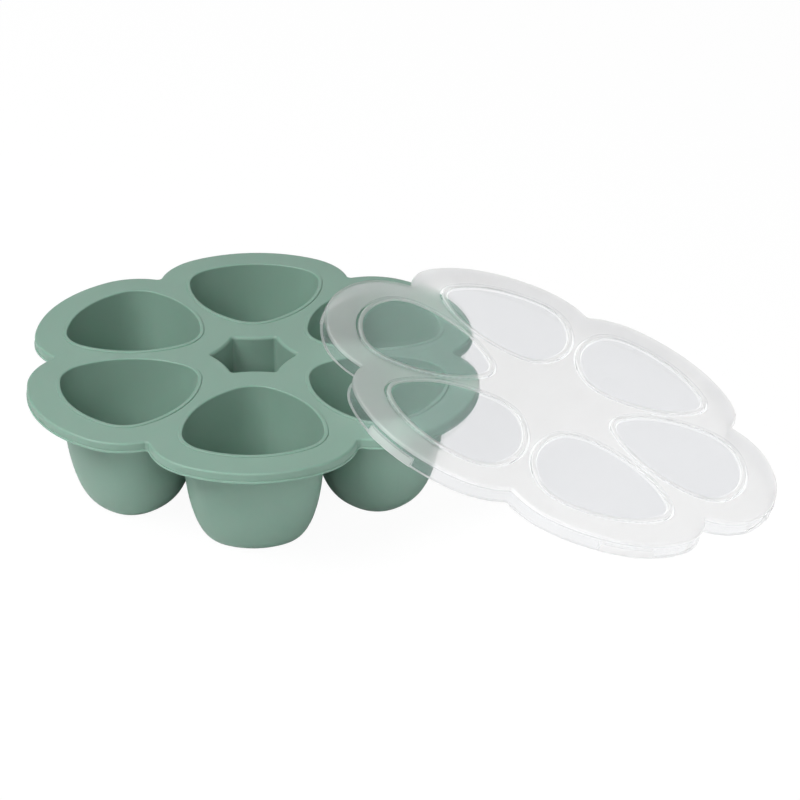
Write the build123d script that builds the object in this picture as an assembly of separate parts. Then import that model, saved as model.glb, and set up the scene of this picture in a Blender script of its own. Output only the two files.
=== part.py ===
from build123d import *
import math
import os

# Freezer tray for baby food: a soft tray with drop-shaped cups round a star-shaped centre hole,
# and a stiff translucent lid with one ridged window over each cup. The tray stands on its cup
# bases and the lid leans against it, one edge on the table. Millimetres, +Z up.

# ---------------------------------------------------------------- driving dimensions
cup_count = 6
first_cup_angle = 30.0  # heading of the first cup, in degrees from +X
cup_ring_radius = 69.3  # centre of each cup from the centre of the tray

# Mouth of a cup: a rounded triangle of three long side arcs and three corner arcs, with one
# corner towards the centre of the tray.
mouth_side_radius = 50.4
mouth_corner_radius = 16.6
mouth_corner_reach = 18.9  # corner arc centres from the centre of the mouth

cup_depth = 57.8  # top of the deck to the underside of a cup
cup_wall = 1.5
cup_floor = 2.2
cup_draft = 5.0  # degrees, at the upper part of the wall
cup_bend_height = 49.0  # half height and half width of the ellipse that rounds the wall
cup_bend_width = 13.8  # into the base
cup_base_roundness = 0.31  # 0 keeps the rounded triangle at the base, 1 makes it a circle
cup_base_shift = 0.7  # the base sits this much nearer to the centre than the mouth

lip_width = 2.2  # raised lip round each mouth
lip_height = 0.5
lip_edge_radius = 0.45
mouth_edge_radius = 0.6

# Deck and rim of the tray
rim_reach = 16.1  # outline of the deck beyond the mouths
flange_start = 3.0  # beyond the mouths the deck falls a little towards the rim
flange_fall = 0.5
deck_thickness = 2.0  # at the rim
rim_height = 5.0
rim_thickness = 2.2
rim_shoulder_radius = 1.0
rim_notch_radius = 2.2  # inner corner between two lobes
bead_reach = 0.4
bead_height = 1.0
bead_edge_radius = 0.3

# Star-shaped hole in the middle, with its sleeve
star_point_radius = 21.3
star_side_sag = 1.3  # how far each side bows towards the centre
star_corner_radius = 1.5
star_edge_radius = 1.6
sleeve_wall = 1.8
sleeve_depth = 26.0

# Lid
lid_clearance = 1.5  # from the bead of the rim to the inside of the skirt
lid_deck_thickness = 1.2
lid_skirt_height = 8.0
lid_skirt_wall = 1.3
lid_skirt_flare = 0.2
lid_shoulder_radius = 0.9
lid_notch_radius = 1.6
window_offset = 0.25  # edge of the clear window outside the line of the mouth
ridge_width = 2.2  # raised ridge round each window
ridge_height = 0.7
ridge_edge_radius = 0.66
groove_width = 1.2  # groove outside the ridge
groove_depth = 0.3
channel_depth = 0.7  # under the ridge, for the lip of the tray
channel_play = 0.2  # on each side of the lip
lug_length = 28.0  # thumb lug on the skirt at each lobe
lug_height = 4.2
lug_reach = 0.4
lug_corner_radius = 2.4

# How the lid leans
lean_heading = -4.4  # direction of the downhill side, in degrees from +X
lid_turn = 17.9  # turn of the lid about its own axis
lid_centre_x = 145.3
lid_centre_y = -27.3
rest_gap = 0.6  # lid to tray
table_gap = 0.1  # lid to table

# ---------------------------------------------------------------- outlines
cup_pitch = 360.0 / cup_count
corner_step = 360.0 / 3  # the mouth has three corners
level_tolerance = 0.01  # an edge whose ends differ by less than this is level
bend_steps = 8  # sections of the loft round the bend of a cup
probe_step = 2  # degrees between the points at which the lid could touch the tray
tilt_tolerance = 0.001  # degrees
cup_headings = [first_cup_angle + index * cup_pitch for index in range(cup_count)]


def polar(radius, heading, centre=(0.0, 0.0)):
    """Point at a distance and heading, in degrees, from a centre."""
    angle = math.radians(heading)
    return (centre[0] + radius * math.cos(angle), centre[1] + radius * math.sin(angle))


def arc(centre, radius, start, end, z):
    """Arc between two headings at height z."""
    points = [polar(radius, heading, centre) for heading in (start, (start + end) / 2, end)]
    return ThreePointArc(*[(x, y, z) for x, y in points])


def side_geometry(side_radius, corner_radius, reach):
    """Setback of a side arc's centre and half the angle that the arc spans."""
    across = reach * math.sin(math.radians(corner_step / 2))
    setback = math.sqrt((side_radius - corner_radius) ** 2 - across**2) - reach / 2
    half_span = math.degrees(math.atan2(across, setback + reach / 2))
    return setback, half_span


mouth_setback, mouth_half_span = side_geometry(
    mouth_side_radius, mouth_corner_radius, mouth_corner_reach
)
mouth_side_reach = mouth_side_radius - mouth_setback
mean_mouth_radius = (mouth_side_reach + mouth_corner_reach + mouth_corner_radius) / 2


def drop_outline(grow=0.0, scale=1.0, roundness=0.0, shift=0.0, z=0.0):
    """Closed outline of a mouth on the +X axis, grown, scaled, or rounded towards a circle."""
    keep = scale * (1 - roundness)
    circle = scale * roundness * mean_mouth_radius
    side_radius = keep * mouth_side_radius + circle + grow
    corner_radius = keep * mouth_corner_radius + circle + grow
    reach = keep * mouth_corner_reach
    setback, half_span = side_geometry(side_radius, corner_radius, reach)
    centre = (cup_ring_radius - shift, 0.0)
    edges = []
    for side in (0, 1, 2):
        heading = side * corner_step
        side_centre = polar(-setback, heading, centre)
        corner_centre = polar(reach, heading + corner_step / 2, centre)
        turn_end = heading + corner_step - half_span
        edges.append(arc(side_centre, side_radius, heading - half_span, heading + half_span, z))
        edges.append(arc(corner_centre, corner_radius, heading + half_span, turn_end, z))
    return Wire(edges)


class Lobe:
    """Arcs of one lobe on the +X axis: a mouth grown outwards, and the notch beside it."""

    def __init__(self, grow, notch_radius):
        self.side_radius = mouth_side_radius + grow
        self.corner_radius = mouth_corner_radius + grow
        self.notch_radius = notch_radius
        self.half_span = mouth_half_span
        self.side_distance = cup_ring_radius - mouth_setback
        corner = polar(mouth_corner_reach, corner_step / 2, (cup_ring_radius, 0.0))
        self.corner_distance = math.hypot(*corner)
        self.corner_heading = math.degrees(math.atan2(corner[1], corner[0]))
        self.valley = cup_pitch / 2
        off_valley = math.radians(self.valley - self.corner_heading)
        across = self.corner_distance * math.sin(off_valley)
        reach = self.corner_radius + notch_radius
        along = math.sqrt(reach**2 - across**2)
        self.notch_distance = self.corner_distance * math.cos(off_valley) + along
        notch = polar(self.notch_distance, self.valley)
        self.touch = math.degrees(math.atan2(notch[1] - corner[1], notch[0] - corner[0]))
        self.side_end = bearing(*polar(self.corner_radius, self.half_span, corner))
        self.corner_end = bearing(*polar(self.corner_radius, self.touch, corner))

    def radius(self, heading):
        """Distance from the centre of the tray to the outline at a heading."""
        folded = abs((heading - first_cup_angle + self.valley) % cup_pitch - self.valley)
        if folded <= self.side_end:
            return ray_hit(self.side_distance, 0.0, self.side_radius, folded, 1)
        if folded <= self.corner_end:
            distance = self.corner_distance
            return ray_hit(distance, self.corner_heading, self.corner_radius, folded, 1)
        return ray_hit(self.notch_distance, self.valley, self.notch_radius, folded, -1)

    def covers(self, x, y):
        """Whether a point lies inside the outline."""
        return math.hypot(x, y) < self.radius(bearing(x, y))


def bearing(x, y):
    """Heading of a point seen from the centre, in degrees."""
    return math.degrees(math.atan2(y, x))


def ray_hit(distance, centre_heading, radius, heading, side):
    """Where a ray from the origin meets a circle: its far side for 1, its near side for -1."""
    off_ray = math.radians(heading - centre_heading)
    half_chord = math.sqrt(max(radius**2 - (distance * math.sin(off_ray)) ** 2, 0.0))
    return distance * math.cos(off_ray) + side * half_chord


def flower_outline(lobe, z):
    """Outline of all the lobes at height z."""
    half_span, touch = lobe.half_span, lobe.touch
    edges = []
    for heading in cup_headings:
        side = polar(lobe.side_distance, heading)
        right = polar(lobe.corner_distance, heading - lobe.corner_heading)
        left = polar(lobe.corner_distance, heading + lobe.corner_heading)
        notch = polar(lobe.notch_distance, heading + lobe.valley)
        notch_end = heading + cup_pitch - touch + 180
        edges.append(arc(right, lobe.corner_radius, heading - touch, heading - half_span, z))
        edges.append(arc(side, lobe.side_radius, heading - half_span, heading + half_span, z))
        edges.append(arc(left, lobe.corner_radius, heading + half_span, heading + touch, z))
        edges.append(arc(notch, lobe.notch_radius, heading + touch + 180, notch_end, z))
    return Wire(edges)


def rim_lobe(reach):
    """Lobe of the rim at a distance beyond the mouths; its notches stay concentric."""
    return Lobe(reach, rim_notch_radius + rim_reach - reach)


def rim_outline(reach, z=0.0):
    return flower_outline(rim_lobe(reach), z)


def lid_lobe(reach):
    """Lobe of the lid at a distance beyond the mouths; its notches stay concentric."""
    return Lobe(reach, lid_notch_radius + lid_reach - reach)


def lid_outline(reach, z=0.0):
    return flower_outline(lid_lobe(reach), z)


def star_slab(grow, depth):
    """Solid below the deck, with a rounded point between each two cups and sides that bow in."""
    half_side = math.radians(cup_pitch / 2)
    point_radius = star_point_radius + grow / math.cos(half_side)
    waist_radius = star_point_radius * math.cos(half_side) - star_side_sag + grow
    edges = []
    for heading in cup_headings:
        corner = polar(point_radius, heading - cup_pitch / 2)
        waist = polar(waist_radius, heading)
        next_corner = polar(point_radius, heading + cup_pitch / 2)
        edges.append(ThreePointArc(corner, waist, next_corner))
    star = Face(Wire(edges))
    star = fillet(star.vertices(), star_corner_radius + grow)
    return extrude(star, amount=depth, dir=(0, 0, -1))


def slab(outline, height):
    """Solid between an outline and the same outline higher up."""
    return extrude(Face(outline), amount=height, dir=(0, 0, 1))


def ring(outer, inner, height):
    """Solid between two outlines."""
    return slab(outer, height) - slab(inner, height)


def at_each_cup(solid):
    """Copies of a solid on the +X axis, one at each cup."""
    return [solid.rotate(Axis.Z, heading) for heading in cup_headings]


def flat_edges(solid, z):
    """Edges of a solid that lie level at a height."""
    found = []
    for edge in solid.edges():
        box = edge.bounding_box()
        if abs(box.min.Z - z) < level_tolerance and abs(box.max.Z - z) < level_tolerance:
            found.append(edge)
    return found


# ---------------------------------------------------------------- tray
def cup_profile(wall, depth, top):
    """Heights and mean radii down a cup: a drafted wall that an ellipse rounds into the base."""
    slope = math.tan(math.radians(cup_draft))
    start = math.atan(slope * cup_bend_height / cup_bend_width)
    top_radius = mean_mouth_radius + wall
    bend_depth = depth - cup_bend_height * (1 - math.sin(start))
    bend_radius = top_radius - slope * bend_depth
    base_radius = bend_radius - cup_bend_width * math.cos(start)
    profile = [(top, top_radius + slope * top)]
    profile.append((-bend_depth / 2, top_radius - slope * bend_depth / 2))
    for step in range(bend_steps + 1):
        angle = start + (math.pi / 2 - start) * step / bend_steps
        height = cup_bend_height * (1 - math.sin(angle)) - depth
        profile.append((height, base_radius + cup_bend_width * math.cos(angle)))
    return profile


def cup_body(wall, depth, top):
    """Solid of one cup on the +X axis, from a height above the deck down to a flat base."""
    sections = []
    for z, mean_radius in cup_profile(wall, depth, top):
        fall = max(-z / depth, 0.0)
        outline = drop_outline(
            scale=mean_radius / mean_mouth_radius,
            roundness=cup_base_roundness * fall,
            shift=cup_base_shift * fall,
            z=z,
        )
        sections.append(Face(outline))
    return loft(sections)


def build_rim():
    """Deck with its downturned rim and the bead round the foot of the rim."""
    base = -flange_fall - rim_height
    deck = slab(rim_outline(rim_reach, base), rim_height)
    deck += loft([Face(rim_outline(rim_reach, -flange_fall)), Face(rim_outline(flange_start))], ruled=True)
    deck = fillet(flat_edges(deck, -flange_fall), rim_shoulder_radius)
    bead = slab(rim_outline(rim_reach + bead_reach, base), bead_height)
    bead = fillet(flat_edges(bead, base + bead_height), bead_edge_radius)
    hollow = slab(rim_outline(rim_reach - rim_thickness, base), rim_height - deck_thickness)
    return deck + bead - hollow


def build_tray():
    lip = slab(drop_outline(grow=lip_width), lip_height)
    lip = fillet(flat_edges(lip, lip_height), lip_edge_radius)
    tray = build_rim()
    tray += at_each_cup(lip)
    tray += at_each_cup(cup_body(cup_wall, cup_depth, -deck_thickness / 2))
    tray += star_slab(sleeve_wall, sleeve_depth)
    tray -= at_each_cup(cup_body(0.0, cup_depth - cup_floor, lip_height))
    tray -= star_slab(0.0, sleeve_depth)
    star_rim = [edge for edge in flat_edges(tray, 0.0) if within_star(edge)]
    tray = fillet(star_rim, star_edge_radius)
    mouths = [edge for edge in flat_edges(tray, lip_height) if edge.geom_type != GeomType.CIRCLE]
    return fillet(mouths, mouth_edge_radius)


def within_star(edge):
    """Whether an edge lies inside the circle through the points of the star."""
    centre = edge.bounding_box().center()
    return math.hypot(centre.X, centre.Y) < star_point_radius


# ---------------------------------------------------------------- lid, flat, deck top at z = 0
lid_reach = rim_reach + bead_reach + lid_clearance + lid_skirt_wall
inside_reach = lid_reach - lid_skirt_wall
ridge_edge = window_offset + ridge_width
groove_edge = ridge_edge + groove_width
skirt_foot = -lid_skirt_height


def build_skirt():
    """Deck and flared skirt without their hollow, and the hollow."""
    shoulder = lid_outline(lid_reach - lid_skirt_flare, 0.0)
    outer = loft([Face(lid_outline(lid_reach, skirt_foot)), Face(shoulder)], ruled=True)
    outer = fillet(flat_edges(outer, 0.0), lid_shoulder_radius)
    flare = lid_skirt_flare * (1 + lid_deck_thickness / skirt_foot)
    roof = lid_outline(inside_reach - flare, -lid_deck_thickness)
    hollow = loft([Face(lid_outline(inside_reach, skirt_foot)), Face(roof)], ruled=True)
    return outer, hollow


def lobe_tip_cutter(length, height, corner_radius):
    """Block across the tip of the first lobe, with its upper corners rounded."""
    face = RectangleRounded(length, 2 * height, corner_radius)
    start = Plane(origin=(cup_ring_radius, 0, skirt_foot), x_dir=(0, 1, 0), z_dir=(1, 0, 0))
    return extrude(start * face, amount=cup_ring_radius)


def build_lid():
    outer, hollow = build_skirt()
    lug_pad = slab(lid_outline(lid_reach + lug_reach, skirt_foot), lug_height)
    for cutter in at_each_cup(lobe_tip_cutter(lug_length, lug_height, lug_corner_radius)):
        outer += lug_pad & cutter
    lid = outer - hollow
    groove = ring(
        drop_outline(groove_edge, z=-groove_depth),
        drop_outline(ridge_edge, z=-groove_depth),
        groove_depth,
    )
    base = -lid_deck_thickness / 2
    ridge = ring(
        drop_outline(ridge_edge, z=base),
        drop_outline(window_offset, z=base),
        ridge_height - base,
    )
    channel = ring(
        drop_outline(lip_width + channel_play, z=-lid_deck_thickness),
        drop_outline(-channel_play, z=-lid_deck_thickness),
        channel_depth,
    )
    ridge = fillet(flat_edges(ridge, ridge_height), ridge_edge_radius)
    lid -= at_each_cup(groove)
    for placed_ridge in at_each_cup(ridge):
        lid += placed_ridge
    lid -= at_each_cup(channel)
    return lid


# ---------------------------------------------------------------- how the lid leans
def lid_place(tilt, height):
    """Location of the lid: turned about its own axis, tipped downhill, and moved."""
    centre = Pos(lid_centre_x, lid_centre_y, height)
    return centre * Rot(0, 0, lean_heading) * Rot(0, tilt, 0) * Rot(0, 0, lid_turn)


def resting_height(lid, tilt):
    """Height of the lid's centre at which its low edge rests on the table."""
    low = lid.moved(lid_place(tilt, 0.0)).bounding_box().min.Z
    return table_gap - cup_depth - low


def lid_probes():
    """Points of the lid's skirt that could touch the deck of the tray."""
    skirt = lid_lobe(lid_reach)
    headings = range(0, 360, probe_step)
    return [(*polar(skirt.radius(heading), heading), skirt_foot) for heading in headings]


def clear_height(lid, tilt):
    """Smallest distance between the leaning lid and the tray at a tilt."""
    place = lid_place(tilt, resting_height(lid, tilt))
    tray_edge = rim_lobe(rim_reach)
    lid_edge = lid_lobe(inside_reach)
    gaps = []
    for probe in lid_probes():
        point = (place * Pos(*probe)).position
        if tray_edge.covers(point.X, point.Y):
            gaps.append(point.Z - lip_height)
    for heading in range(0, 360, probe_step):
        rim_point = Pos(*polar(tray_edge.radius(heading), heading), -flange_fall)
        point = (place.inverse() * rim_point).position
        if lid_edge.covers(point.X, point.Y):
            gaps.append(-lid_deck_thickness - point.Z)
    return min(gaps)


def lean_tilt(lid):
    """Tilt, in degrees, at which the lid comes to rest on the tray."""
    flat, steep = 1.0, 60.0
    while steep - flat > tilt_tolerance:
        middle = (flat + steep) / 2
        if clear_height(lid, middle) < rest_gap:
            flat = middle
        else:
            steep = middle
    return steep


def build_set():
    """Tray and leaning lid, with the middle of their footprint on the table as the origin."""
    tray = build_tray()
    lid = build_lid()
    tilt = lean_tilt(lid)
    lid = lid.moved(lid_place(tilt, resting_height(lid, tilt)))
    boxes = [tray.bounding_box(), lid.bounding_box()]
    middle_x = (min(box.min.X for box in boxes) + max(box.max.X for box in boxes)) / 2
    middle_y = (min(box.min.Y for box in boxes) + max(box.max.Y for box in boxes)) / 2
    footing = Pos(-middle_x, -middle_y, cup_depth)
    print(f"the lid leans by {tilt:.3f} degrees, the tray stands at {footing.position}")
    return {"tray": tray.moved(footing), "lid": lid.moved(footing)}


os.makedirs("parts", exist_ok=True)
for node, solid in build_set().items():
    export_step(solid, f"parts/{node}.step")
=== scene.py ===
"""Finishes, studio and camera for a baby food freezer tray with its translucent lid.

The tray is one soft silicone moulding that stands on its cup bases. The lid is one polypropylene
moulding with a frosted deck, six clear windows and a clear skirt, and it leans against the tray.
"""

import math

import bmesh
import bpy
from mathutils import Matrix, Vector

bl_info = {
    "name": "Freezer Tray Finishes",
    "version": (1, 0, 0),
    "blender": (4, 5, 0),
    "location": "View3D > Sidebar > Freezer Tray",
    "description": "Silicone tray, translucent lid, studio and camera of a baby food freezer tray",
    "category": "Object",
}

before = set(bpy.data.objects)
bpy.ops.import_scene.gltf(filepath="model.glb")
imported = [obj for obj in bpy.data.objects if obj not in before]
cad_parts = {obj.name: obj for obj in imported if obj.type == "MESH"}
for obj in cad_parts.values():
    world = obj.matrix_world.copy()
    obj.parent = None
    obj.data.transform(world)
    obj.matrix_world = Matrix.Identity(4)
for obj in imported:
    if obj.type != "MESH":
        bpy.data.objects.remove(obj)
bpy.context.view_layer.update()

MM = 0.001
IMAGE_SIDE = 800  # pixels of the square picture
SENSOR_WIDTH = 36.0  # millimetres
CAMERA_CLIP = (0.05, 20.0)  # nearest and farthest distance that the camera sees, in metres

# Height of the sky, 0 level and 1 overhead, where the pale walls give way to the ceiling
OVERHEAD_EDGE = 0.35
OVERHEAD_SOFTNESS = 0.7

# Softboxes: place and size in metres, all pointed at the middle of the object
LIGHT_TARGET = (0.0, 0.0, 0.04)
SOFTBOXES = {
    "key": ((-1.25, -0.5, 1.7), (1.2, 1.2)),
    "front": ((0.0, -1.8, 1.3), (1.4, 1.0)),
    "top": ((0.0, 0.3, 1.8), (1.8, 1.4)),
    "fill": ((1.6, -0.9, 0.4), (1.0, 1.0)),
    "back": ((-0.2, 2.0, 1.2), (1.2, 1.0)),
}

# Shape that the finishes follow: the lid's place, and the outline of a cup's mouth
LID_CENTRE = Vector((72.446, -12.869, 46.596)) * MM
LID_HEADING = math.radians(-4.4)
LID_TILT = math.radians(19.239)
LID_TURN = math.radians(17.9)
CUP_PITCH = math.radians(60)
CORNER_PITCH = math.radians(120)
CUP_RING_RADIUS = 69.3 * MM
MOUTH_SIDE_RADIUS = 50.4 * MM
MOUTH_CORNER_RADIUS = 16.6 * MM
MOUTH_CORNER_REACH = 18.9 * MM


# ---------------------------------------------------------------- settings
class SiliconeSettings(bpy.types.PropertyGroup):
    """Finish of the soft tray."""

    colour: bpy.props.FloatVectorProperty(
        name="Silicone",
        description="Sage green of the pigmented silicone",
        subtype="COLOR",
        size=3,
        min=0,
        max=1,
        default=(0.222, 0.350, 0.286),
    )
    shade_variation: bpy.props.FloatProperty(
        name="Shade variation",
        description="How far the pigment drifts in shade over the moulding",
        subtype="FACTOR",
        min=0,
        max=1,
        default=0.06,
    )
    roughness: bpy.props.FloatProperty(
        name="Roughness",
        description="Roughness of the matt moulded skin",
        subtype="FACTOR",
        min=0,
        max=1,
        default=0.45,
    )
    grain_size: bpy.props.FloatProperty(
        name="Grain size",
        description="Width of one grain of the matt skin",
        subtype="DISTANCE",
        unit="LENGTH",
        default=0.35 * MM,
    )
    grain_height: bpy.props.FloatProperty(
        name="Grain height",
        description="Height of the grain of the matt skin",
        subtype="DISTANCE",
        unit="LENGTH",
        default=0.006 * MM,
    )
    shade_size: bpy.props.FloatProperty(
        name="Shade size",
        description="Width of one patch of the slow drift of shade",
        subtype="DISTANCE",
        unit="LENGTH",
        default=1000 / 18 * MM,
    )
    roughness_variation: bpy.props.FloatProperty(
        name="Roughness variation",
        description="How far the roughness drifts with the shade",
        subtype="FACTOR",
        min=0,
        max=1,
        default=0.05,
    )
    light_spread: bpy.props.FloatProperty(
        name="Light spread",
        description="How far light spreads under the skin of the silicone",
        subtype="DISTANCE",
        unit="LENGTH",
        default=2.5 * MM,
    )


class LidSettings(bpy.types.PropertyGroup):
    """Finish of the translucent lid."""

    frost_colour: bpy.props.FloatVectorProperty(
        name="Frost",
        description="Colour of the frosted deck",
        subtype="COLOR",
        size=3,
        min=0,
        max=1,
        default=(0.877, 0.877, 0.88),
    )
    window_colour: bpy.props.FloatVectorProperty(
        name="Window",
        description="Faint tint of the clear windows",
        subtype="COLOR",
        size=3,
        min=0,
        max=1,
        default=(0.52, 0.54, 0.58),
    )
    # Colour of the clear groove round a ridge, and of the painted shade along the inner edge of each
    # window
    groove_and_edge_shade_colour: bpy.props.FloatVectorProperty(
        name="Edge",
        description="Deeper tint of the groove round a ridge and of the edge of a window",
        subtype="COLOR",
        size=3,
        min=0,
        max=1,
        default=(0.70, 0.80, 0.86),
    )
    frost_roughness: bpy.props.FloatProperty(
        name="Frost roughness",
        description="Roughness of the frosted deck",
        subtype="FACTOR",
        min=0,
        max=1,
        default=0.4,
    )
    clear_roughness: bpy.props.FloatProperty(
        name="Clear roughness",
        description="Roughness of the windows and the skirt",
        subtype="FACTOR",
        min=0,
        max=1,
        default=0.1,
    )
    ridge_roughness: bpy.props.FloatProperty(
        name="Ridge roughness",
        description="Roughness of the raised ridge round a window",
        subtype="FACTOR",
        min=0,
        max=1,
        default=0.3,
    )
    window_offset: bpy.props.FloatProperty(
        name="Window offset",
        description="Edge of the window outside the line of the cup's mouth",
        subtype="DISTANCE",
        unit="LENGTH",
        default=0.25 * MM,
    )
    ridge_width: bpy.props.FloatProperty(
        name="Ridge width",
        description="Width of the raised ridge round a window",
        subtype="DISTANCE",
        unit="LENGTH",
        default=2.2 * MM,
    )
    groove_width: bpy.props.FloatProperty(
        name="Groove width",
        description="Width of the groove outside the ridge",
        subtype="DISTANCE",
        unit="LENGTH",
        default=1.2 * MM,
    )
    # Width of the painted shade along the inner edge of a window
    edge_width: bpy.props.FloatProperty(
        name="Window edge width",
        description="Width of the deeper tint along the edge of a window",
        subtype="DISTANCE",
        unit="LENGTH",
        default=0.7 * MM,
    )
    frost_depth: bpy.props.FloatProperty(
        name="Frost depth",
        description="How far the frost reaches down from the deck on the skirt",
        subtype="DISTANCE",
        unit="LENGTH",
        default=1.9 * MM,
    )
    lug_length: bpy.props.FloatProperty(
        name="Lug length",
        description="Length of the frosted thumb lug on the skirt of each lobe",
        subtype="DISTANCE",
        unit="LENGTH",
        default=28.0 * MM,
    )
    lug_top: bpy.props.FloatProperty(
        name="Lug top",
        description="Upper edge of the lug, below the deck",
        subtype="DISTANCE",
        unit="LENGTH",
        default=3.8 * MM,
    )
    # Painted highlight: below this depth the skirt's foot is made fully hazy and frost white, a light
    # line that stands in for a highlight along its edge
    foot_highlight_depth: bpy.props.FloatProperty(
        name="Foot line",
        description="Depth below the deck at which the light edge of the skirt's foot starts",
        subtype="DISTANCE",
        unit="LENGTH",
        default=7.65 * MM,
    )
    # Haze of the clear grooves, and of the painted shade along the inner edge of each window
    groove_and_edge_shade_haze: bpy.props.FloatProperty(
        name="Edge haze",
        description="How much of the plastic is seen in the clear grooves beside a ridge",
        subtype="FACTOR",
        min=0,
        max=1,
        default=0.06,
    )
    frost_alpha: bpy.props.FloatProperty(
        name="Frost haze",
        description="How much of the frosted plastic is seen rather than what lies behind it",
        subtype="FACTOR",
        min=0,
        max=1,
        default=0.72,
    )
    window_alpha: bpy.props.FloatProperty(
        name="Window haze",
        description="How much of a window's plastic is seen rather than what lies behind it",
        subtype="FACTOR",
        min=0,
        max=1,
        default=0.3,
    )
    skirt_alpha: bpy.props.FloatProperty(
        name="Skirt haze",
        description="How much of the skirt's plastic is seen rather than what lies behind it",
        subtype="FACTOR",
        min=0,
        max=1,
        default=0.18,
    )
    shadow_share: bpy.props.FloatProperty(
        name="Shadow share",
        description="How much of the haze still counts in the lid's shadow",
        subtype="FACTOR",
        min=0,
        max=1,
        default=0.12,
    )
    light_spread: bpy.props.FloatProperty(
        name="Light spread",
        description="How far light spreads inside the milky plastic",
        subtype="DISTANCE",
        unit="LENGTH",
        default=4.0 * MM,
    )


class StudioSettings(bpy.types.PropertyGroup):
    """Camera, floor and lights."""

    camera_place: bpy.props.FloatVectorProperty(
        name="Camera",
        description="Where the camera stands",
        subtype="TRANSLATION",
        unit="LENGTH",
        size=3,
        default=(-58.25 * MM, -1162.85 * MM, 681.87 * MM),
    )
    camera_azimuth: bpy.props.FloatProperty(
        name="Azimuth",
        description="Heading of the view, clockwise from +Y",
        subtype="ANGLE",
        default=math.radians(2.80),
    )
    camera_elevation: bpy.props.FloatProperty(
        name="Elevation",
        description="How far the view looks down",
        subtype="ANGLE",
        default=math.radians(28.914),
    )
    camera_roll: bpy.props.FloatProperty(
        name="Roll",
        description="Turn of the picture",
        subtype="ANGLE",
        default=math.radians(-0.634),
    )
    focal_pixels: bpy.props.FloatProperty(
        name="Focal length in pixels",
        description="Focal length in pixels of the square picture",
        subtype="PIXEL",
        default=2705.55,
    )
    floor_size: bpy.props.FloatProperty(
        name="Floor size",
        description="Side of the square floor",
        subtype="DISTANCE",
        unit="LENGTH",
        default=8.0,
    )
    floor_white: bpy.props.FloatProperty(
        name="Floor white", description="Brightness of the white that the floor shows", default=1.02
    )
    floor_white_share: bpy.props.FloatProperty(
        name="Floor white share",
        description="How much of the floor's look is plain white, where the rest keeps the shadow",
        subtype="FACTOR",
        min=0,
        max=1,
        default=0.93,
    )
    key_power: bpy.props.FloatProperty(
        name="Key light", description="Softbox at the left", unit="POWER", default=43.0
    )
    front_power: bpy.props.FloatProperty(
        name="Front light", description="Softbox above the camera", unit="POWER", default=17.0
    )
    top_power: bpy.props.FloatProperty(
        name="Top light", description="Large softbox overhead", unit="POWER", default=2.0
    )
    fill_power: bpy.props.FloatProperty(
        name="Fill light", description="Softbox at the right", unit="POWER", default=5.2
    )
    back_power: bpy.props.FloatProperty(
        name="Back light", description="Softbox behind the tray", unit="POWER", default=4.0
    )
    horizon_strength: bpy.props.FloatProperty(
        name="Horizon", description="Soft light from the pale walls all round", default=0.62
    )
    zenith_strength: bpy.props.FloatProperty(
        name="Zenith", description="Soft light from overhead", default=0.2
    )
    mirrored_strength: bpy.props.FloatProperty(
        name="Mirrored sky", description="Brightness of the surroundings in reflections", default=0.75
    )


SETTINGS = (SiliconeSettings, LidSettings, StudioSettings)


# ---------------------------------------------------------------- shader helpers
def new_group(name, inputs, outputs):
    """Empty shader node group with named sockets."""
    group = bpy.data.node_groups.new(name, "ShaderNodeTree")
    for label, kind in inputs:
        group.interface.new_socket(name=label, in_out="INPUT", socket_type=kind)
    for label, kind in outputs:
        group.interface.new_socket(name=label, in_out="OUTPUT", socket_type=kind)
    return group


class Wiring:
    """Small helper that adds nodes to a tree and links values or sockets to them."""

    def __init__(self, tree):
        self.tree = tree

    def node(self, kind, **settings):
        """New node with its properties set by name."""
        made = self.tree.nodes.new(kind)
        for name, value in settings.items():
            setattr(made, name, value)
        return made

    def feed(self, socket, value):
        """Links an output to a socket, or sets the socket to a plain value."""
        if isinstance(value, bpy.types.NodeSocket):
            self.tree.links.new(value, socket)
        else:
            socket.default_value = value

    def math(self, operation, *values):
        """Result of one Math node."""
        made = self.node("ShaderNodeMath", operation=operation)
        for socket, value in zip(made.inputs, values):
            self.feed(socket, value)
        return made.outputs[0]

    def mix(self, factor, low, high):
        """Value between low and high."""
        made = self.node("ShaderNodeMix", data_type="FLOAT")
        return self.fill_mix(made, factor, low, high)

    def mix_colour(self, factor, low, high):
        """Colour between low and high."""
        made = self.node("ShaderNodeMix", data_type="RGBA")
        return self.fill_mix(made, factor, low, high)

    def fill_mix(self, made, factor, low, high):
        """Feeds the sockets of a Mix node that are in use, and gives its result."""
        in_use = [socket for socket in made.inputs if socket.enabled]
        for socket, value in zip(in_use, (factor, low, high)):
            self.feed(socket, value)
        return next(socket for socket in made.outputs if socket.enabled)

    def step(self, value, edge, softness):
        """0 below an edge and 1 above it, with a soft change."""
        made = self.node("ShaderNodeMapRange", interpolation_type="SMOOTHSTEP")
        self.feed(made.inputs["Value"], value)
        made.inputs["From Min"].default_value = edge - softness / 2
        made.inputs["From Max"].default_value = edge + softness / 2
        return made.outputs["Result"]

    def place(self, group, **values):
        """Instance of a node group with its inputs fed by name."""
        made = self.node("ShaderNodeGroup", node_tree=group)
        for name, value in values.items():
            self.feed(made.inputs[name.replace("_", " ")], value)
        return made


def rgba(colour):
    """Colour with full alpha, as a colour socket takes it."""
    return (*colour, 1.0)


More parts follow.
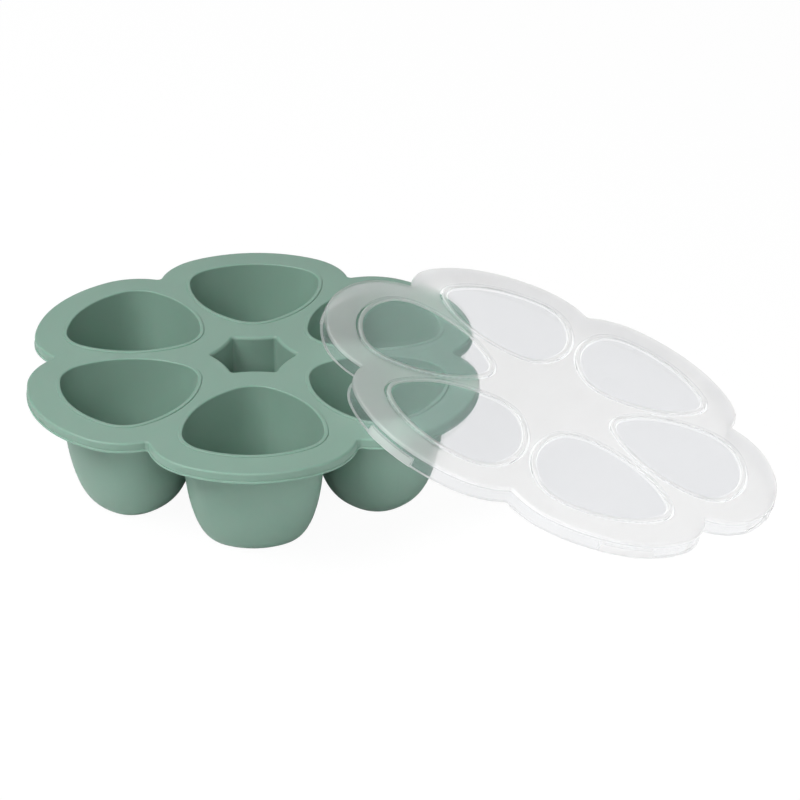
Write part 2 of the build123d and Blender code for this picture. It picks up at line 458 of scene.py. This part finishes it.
def fine_grain_group():
    """Fine grain of a matt moulded skin: a height, and a mask of slow drift over the moulding."""
    group = new_group(
        "Moulded grain",
        [
            ("Vector", "NodeSocketVector"),
            ("Grain Size", "NodeSocketFloat"),
            ("Shade Size", "NodeSocketFloat"),
        ],
        [("Height", "NodeSocketFloat"), ("Drift", "NodeSocketFloat")],
    )
    wiring = Wiring(group)
    source = wiring.node("NodeGroupInput")
    sink = wiring.node("NodeGroupOutput")
    for size, detail, result in (("Grain Size", 3.0, "Height"), ("Shade Size", 2.0, "Drift")):
        noise = wiring.node("ShaderNodeTexNoise", noise_dimensions="3D")
        wiring.feed(noise.inputs["Vector"], source.outputs["Vector"])
        wiring.feed(noise.inputs["Scale"], wiring.math("DIVIDE", 1.0, source.outputs[size]))
        noise.inputs["Detail"].default_value = detail
        wiring.feed(sink.inputs[result], noise.outputs["Fac"])
    return group


def side_geometry():
    """Setback of the centre of a mouth's side arc, and half the angle that the arc spans."""
    across = MOUTH_CORNER_REACH * math.sin(CORNER_PITCH / 2)
    reach = MOUTH_SIDE_RADIUS - MOUTH_CORNER_RADIUS
    setback = math.sqrt(reach**2 - across**2) - MOUTH_CORNER_REACH / 2
    half_span = math.atan2(across, setback + MOUTH_CORNER_REACH / 2)
    return setback, half_span


def mouth_distance_group():
    """Distance of a point of the lid from the outline of the nearest mouth, negative inside."""
    group = new_group(
        "Mouth distance",
        [("Vector", "NodeSocketVector")],
        [
            ("Distance", "NodeSocketFloat"),
            ("Along", "NodeSocketFloat"),
            ("Across", "NodeSocketFloat"),
            ("Height", "NodeSocketFloat"),
        ],
    )
    wiring = Wiring(group)
    calc = wiring.math
    source = wiring.node("NodeGroupInput")
    sink = wiring.node("NodeGroupOutput")
    parts = wiring.node("ShaderNodeSeparateXYZ")
    wiring.feed(parts.inputs["Vector"], source.outputs["Vector"])
    x, y, z = parts.outputs

    heading = calc("SUBTRACT", calc("WRAP", calc("ARCTAN2", y, x), CUP_PITCH, 0.0), CUP_PITCH / 2)
    radius = calc("SQRT", calc("ADD", calc("MULTIPLY", x, x), calc("MULTIPLY", y, y)))
    along = calc("SUBTRACT", calc("MULTIPLY", radius, calc("COSINE", heading)), CUP_RING_RADIUS)
    across = calc("MULTIPLY", radius, calc("SINE", heading))

    setback, half_span = side_geometry()
    bearing = calc("ARCTAN2", across, along)
    fold = calc("ABSOLUTE", calc("WRAP", bearing, CORNER_PITCH / 2, -CORNER_PITCH / 2))
    reach = calc("SQRT", calc("ADD", calc("MULTIPLY", along, along), calc("MULTIPLY", across, across)))
    forward = calc("MULTIPLY", reach, calc("COSINE", fold))
    sideways = calc("MULTIPLY", reach, calc("SINE", fold))

    def from_circle(centre_forward, centre_sideways, circle_radius):
        """Distance of the point outside one arc's circle."""
        to_forward = calc("SUBTRACT", forward, centre_forward)
        to_sideways = calc("SUBTRACT", sideways, centre_sideways)
        forward_square = calc("MULTIPLY", to_forward, to_forward)
        sideways_square = calc("MULTIPLY", to_sideways, to_sideways)
        to_centre = calc("SQRT", calc("ADD", forward_square, sideways_square))
        return calc("SUBTRACT", to_centre, circle_radius)

    side = from_circle(-setback, 0.0, MOUTH_SIDE_RADIUS)
    corner = from_circle(
        MOUTH_CORNER_REACH * math.cos(CORNER_PITCH / 2),
        MOUTH_CORNER_REACH * math.sin(CORNER_PITCH / 2),
        MOUTH_CORNER_RADIUS,
    )
    turn = calc("ARCTAN2", sideways, calc("ADD", forward, setback))
    at_corner = calc("GREATER_THAN", turn, half_span)
    wiring.feed(sink.inputs["Distance"], wiring.mix(at_corner, side, corner))
    wiring.feed(sink.inputs["Along"], along)
    wiring.feed(sink.inputs["Across"], across)
    wiring.feed(sink.inputs["Height"], z)
    return group


def new_material(name):
    """Material with one Principled shader, and the wiring for its tree."""
    material = bpy.data.materials.new(name)
    material.use_nodes = True
    tree = material.node_tree
    shader = tree.nodes["Principled BSDF"]
    return material, Wiring(tree), shader


def set_plain(shader, **values):
    """Sets values that are the same all over on the shader's own sockets."""
    for name, value in values.items():
        shader.inputs[name.replace("_", " ")].default_value = value


# ---------------------------------------------------------------- materials
def silicone_material(settings):
    """Soft matt silicone with a fine grain and a slow drift of shade."""
    material, wiring, shader = new_material("sage_silicone")
    coordinates = wiring.node("ShaderNodeTexCoord").outputs["Object"]
    grain = wiring.place(
        fine_grain_group(),
        Vector=coordinates,
        Grain_Size=settings.grain_size,
        Shade_Size=settings.shade_size,
    )
    dark = [channel * (1 - settings.shade_variation) for channel in settings.colour]
    light = [channel * (1 + settings.shade_variation) for channel in settings.colour]
    colour = wiring.mix_colour(grain.outputs["Drift"], rgba(dark), rgba(light))
    wiring.feed(shader.inputs["Base Color"], colour)
    smooth = settings.roughness - settings.roughness_variation
    rough = settings.roughness + settings.roughness_variation
    roughness = wiring.mix(grain.outputs["Drift"], smooth, rough)
    wiring.feed(shader.inputs["Roughness"], roughness)
    bump = wiring.node("ShaderNodeBump")
    bump.inputs["Distance"].default_value = settings.grain_height
    wiring.feed(bump.inputs["Height"], grain.outputs["Height"])
    wiring.feed(shader.inputs["Normal"], bump.outputs["Normal"])
    set_plain(shader, IOR=1.41, Specular_IOR_Level=0.5, Subsurface_Weight=0.4)
    set_plain(shader, Subsurface_Scale=settings.light_spread, Subsurface_Radius=(0.4, 1.0, 0.75))
    return material


def lid_material(settings):
    """Translucent plastic: frosted on the deck, ridges and lugs, clear at windows and skirt.

    The low IOR keeps the slanted deck bright where it is mixed with alpha. The coat gives the
    gloss of the real plastic.
    """
    material, wiring, shader = new_material("translucent_polypropylene")
    turn = Matrix.Rotation(LID_HEADING, 3, "Z") @ Matrix.Rotation(LID_TILT, 3, "Y")
    turn = turn @ Matrix.Rotation(LID_TURN, 3, "Z")
    mapping = wiring.node("ShaderNodeMapping", vector_type="TEXTURE")
    wiring.feed(mapping.inputs["Vector"], wiring.node("ShaderNodeTexCoord").outputs["Object"])
    mapping.inputs["Location"].default_value = LID_CENTRE
    mapping.inputs["Rotation"].default_value = turn.to_euler("XYZ")
    place = mapping.outputs["Vector"]
    mouth = wiring.place(mouth_distance_group(), Vector=place).outputs
    zones = lid_zones(wiring, mouth, settings)
    # The edge zone holds the clear grooves and the painted shade along each window's edge
    inner = wiring.mix_colour(zones["edge"], rgba(settings.window_colour), rgba(settings.groove_and_edge_shade_colour))
    colour = wiring.mix_colour(zones["frost"], inner, rgba(settings.frost_colour))
    wiring.feed(shader.inputs["Base Color"], colour)
    roughness = wiring.mix(zones["frost"], settings.clear_roughness, settings.frost_roughness)
    roughness = wiring.mix(zones["ridge"], roughness, settings.ridge_roughness)
    wiring.feed(shader.inputs["Roughness"], roughness)
    haze = wiring.mix(zones["skirt"], settings.window_alpha, settings.skirt_alpha)
    # Painted shade: a window's edge lets more of what lies behind show through, so it reads as a dark
    # line
    haze = wiring.mix(zones["edge"], haze, settings.groove_and_edge_shade_haze)
    haze = wiring.mix(zones["frost"], haze, settings.frost_alpha)
    # Painted highlight: the skirt's foot is fully hazy
    haze = wiring.mix(zones["foot"], haze, 1.0)
    is_shadow = wiring.node("ShaderNodeLightPath").outputs["Is Shadow Ray"]
    share = wiring.mix(is_shadow, 1.0, settings.shadow_share)
    wiring.feed(shader.inputs["Alpha"], wiring.math("MULTIPLY", haze, share))
    set_plain(shader, IOR=1.06, Transmission_Weight=0.72, Subsurface_Weight=1.0)
    set_plain(shader, Subsurface_Scale=settings.light_spread, Subsurface_Radius=(1.0, 1.0, 1.0))
    set_plain(shader, Coat_Weight=0.4, Coat_Roughness=0.15, Coat_IOR=1.5)
    return material


def lid_zones(wiring, mouth, settings):
    """Masks of the lid's zones: ridges, the clear grooves round them with painted shade along each
    window's edge, the skirt, and all that is frosted, including the painted highlight at the skirt's
    foot.
    """
    soft = 0.2 * MM
    frost_fade = 1.0 * MM
    calc = wiring.math

    def beyond(edge):
        return wiring.step(mouth["Distance"], edge, soft)

    def between(low, high):
        return calc("MULTIPLY", low, calc("SUBTRACT", 1.0, high))

    window_edge = settings.window_offset
    ridge_edge = window_edge + settings.ridge_width
    groove_edge = ridge_edge + settings.groove_width
    ridge = between(beyond(window_edge), beyond(ridge_edge))
    groove = between(beyond(ridge_edge), beyond(groove_edge))
    # Painted shade: a darker band just inside the edge of each window
    painted_edge_shade = between(beyond(window_edge - settings.edge_width), beyond(window_edge))
    deck = wiring.step(mouth["Height"], -settings.frost_depth, frost_fade)
    off_axis = calc("ABSOLUTE", mouth["Across"])
    lug = calc("SUBTRACT", 1.0, wiring.step(off_axis, settings.lug_length / 2, soft))
    lug = calc("MULTIPLY", lug, wiring.step(mouth["Along"], 0.0, soft))
    lug = between(lug, wiring.step(mouth["Height"], -settings.lug_top, soft))
    # Painted highlight along the foot of the skirt, counted with the frost below
    foot = calc("SUBTRACT", 1.0, wiring.step(mouth["Height"], -settings.foot_highlight_depth, soft))
    plain_deck = calc("MULTIPLY", deck, beyond(groove_edge))
    # frost: real frost of the deck, ridges and lugs, and the painted highlight at the skirt's foot
    frost = calc("MAXIMUM", calc("MAXIMUM", plain_deck, ridge), calc("MAXIMUM", lug, foot))
    return {
        "ridge": ridge,
        # edge: the clear grooves, and the painted shade along each window's edge
        "edge": calc("MAXIMUM", groove, painted_edge_shade),
        "skirt": calc("SUBTRACT", 1.0, deck),
        "frost": frost,
        "foot": foot,
    }


def floor_material(settings):
    """White floor that stays white to the camera and keeps the shadow of what stands on it."""
    material, wiring, shader = new_material("studio_floor")
    set_plain(shader, Base_Color=(0.86, 0.86, 0.86, 1.0), Roughness=1.0, Specular_IOR_Level=0.0)
    path = wiring.node("ShaderNodeLightPath").outputs
    seen = wiring.math("MAXIMUM", path["Is Camera Ray"], path["Is Transmission Ray"])
    white = wiring.node("ShaderNodeEmission")
    blend = wiring.node("ShaderNodeMixShader")
    white.inputs["Strength"].default_value = settings.floor_white
    wiring.feed(blend.inputs["Fac"], wiring.math("MULTIPLY", seen, settings.floor_white_share))
    wiring.feed(blend.inputs[1], shader.outputs["BSDF"])
    wiring.feed(blend.inputs[2], white.outputs["Emission"])
    output = material.node_tree.nodes["Material Output"]
    wiring.feed(output.inputs["Surface"], blend.outputs["Shader"])
    return material


# ---------------------------------------------------------------- pieces
def dress(node, material):
    """Gives a CAD node its material."""
    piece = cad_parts[node]
    piece.data.materials.clear()
    piece.data.materials.append(material)


class TRAY_OT_finish_tray(bpy.types.Operator):
    """Give the soft tray its silicone finish"""

    bl_idname = "freezer_tray.finish_tray"
    bl_label = "Finish the Tray"

    def execute(self, context):
        dress("tray", silicone_material(context.scene.tray_silicone))
        return {"FINISHED"}


class TRAY_OT_finish_lid(bpy.types.Operator):
    """Give the lid its frosted and clear plastic"""

    bl_idname = "freezer_tray.finish_lid"
    bl_label = "Finish the Lid"

    def execute(self, context):
        dress("lid", lid_material(context.scene.tray_lid))
        return {"FINISHED"}


def softbox(name, place, size, power):
    """Area light that points at the middle of the object."""
    light = bpy.data.lights.new(name, "AREA")
    light.shape = "RECTANGLE"
    light.size, light.size_y = size
    light.energy = power
    lamp = bpy.data.objects.new(name, light)
    lamp.location = place
    lamp.rotation_mode = "QUATERNION"
    lamp.rotation_quaternion = (Vector(LIGHT_TARGET) - Vector(place)).to_track_quat("-Z", "Y")
    bpy.context.scene.collection.objects.link(lamp)


def build_floor(settings):
    """Square floor that the object stands on."""
    square = bmesh.new()
    bmesh.ops.create_grid(square, x_segments=1, y_segments=1, size=settings.floor_size / 2)
    mesh = bpy.data.meshes.new("studio_floor")
    square.to_mesh(mesh)
    square.free()
    floor = bpy.data.objects.new("studio_floor", mesh)
    floor.data.materials.append(floor_material(settings))
    bpy.context.scene.collection.objects.link(floor)


def light_world(settings):
    """Soft light from pale walls all round, dimmer than the white background that is seen."""
    world = bpy.data.worlds.new("studio")
    world.use_nodes = True
    wiring = Wiring(world.node_tree)
    background = world.node_tree.nodes["Background"]
    parts = wiring.node("ShaderNodeSeparateXYZ")
    wiring.feed(parts.inputs["Vector"], wiring.node("ShaderNodeTexCoord").outputs["Generated"])
    overhead = wiring.step(parts.outputs["Z"], OVERHEAD_EDGE, OVERHEAD_SOFTNESS)
    level = wiring.mix(overhead, settings.horizon_strength, settings.zenith_strength)
    path = wiring.node("ShaderNodeLightPath").outputs
    level = wiring.mix(path["Is Glossy Ray"], level, settings.mirrored_strength)
    seen = wiring.math("MAXIMUM", path["Is Camera Ray"], path["Is Transmission Ray"])
    wiring.feed(background.inputs["Strength"], wiring.mix(seen, level, 1.0))
    bpy.context.scene.world = world


def place_camera(settings):
    """Camera whose focal length is given in pixels of the square picture."""
    data = bpy.data.cameras.new("camera")
    data.sensor_width = SENSOR_WIDTH
    data.lens = settings.focal_pixels * SENSOR_WIDTH / IMAGE_SIDE
    data.clip_start, data.clip_end = CAMERA_CLIP
    azimuth, elevation, roll = settings.camera_azimuth, settings.camera_elevation, settings.camera_roll
    forward = Vector((
        math.sin(azimuth) * math.cos(elevation),
        math.cos(azimuth) * math.cos(elevation),
        -math.sin(elevation),
    ))
    level = Vector((math.cos(azimuth), -math.sin(azimuth), 0))
    down = forward.cross(level)
    right = level * math.cos(roll) + down * math.sin(roll)
    up = level * math.sin(roll) - down * math.cos(roll)
    turn = Matrix((right, up, -forward)).transposed()
    camera = bpy.data.objects.new("camera", data)
    camera.matrix_world = Matrix.Translation(settings.camera_place) @ turn.to_4x4()
    bpy.context.scene.collection.objects.link(camera)
    bpy.context.scene.camera = camera


class TRAY_OT_build_stage(bpy.types.Operator):
    """Set the floor, the soft studio light and the camera"""

    bl_idname = "freezer_tray.build_stage"
    bl_label = "Build the Stage"

    def execute(self, context):
        settings = context.scene.tray_studio
        place_camera(settings)
        build_floor(settings)
        light_world(settings)
        for name, (place, size) in SOFTBOXES.items():
            softbox(f"{name}_softbox", place, size, getattr(settings, f"{name}_power"))
        context.scene.view_settings.view_transform = "Standard"
        return {"FINISHED"}


class TRAY_PT_sidebar(bpy.types.Panel):
    """Steps that dress the freezer tray"""

    bl_label = "Freezer Tray"
    bl_idname = "TRAY_PT_sidebar"
    bl_space_type = "VIEW_3D"
    bl_region_type = "UI"
    bl_category = "Freezer Tray"

    def draw(self, context):
        for operator in OPERATORS:
            self.layout.operator(operator.bl_idname)


OPERATORS = (TRAY_OT_finish_tray, TRAY_OT_finish_lid, TRAY_OT_build_stage)


def register():
    for item in (*SETTINGS, *OPERATORS, TRAY_PT_sidebar):
        bpy.utils.register_class(item)
    bpy.types.Scene.tray_silicone = bpy.props.PointerProperty(type=SiliconeSettings)
    bpy.types.Scene.tray_lid = bpy.props.PointerProperty(type=LidSettings)
    bpy.types.Scene.tray_studio = bpy.props.PointerProperty(type=StudioSettings)


def unregister():
    del bpy.types.Scene.tray_studio
    del bpy.types.Scene.tray_lid
    del bpy.types.Scene.tray_silicone
    for item in (TRAY_PT_sidebar, *reversed(OPERATORS), *reversed(SETTINGS)):
        bpy.utils.unregister_class(item)


def main():
    register()
    bpy.ops.freezer_tray.finish_tray()
    bpy.ops.freezer_tray.finish_lid()
    bpy.ops.freezer_tray.build_stage()


if __name__ == "__main__":
    main()
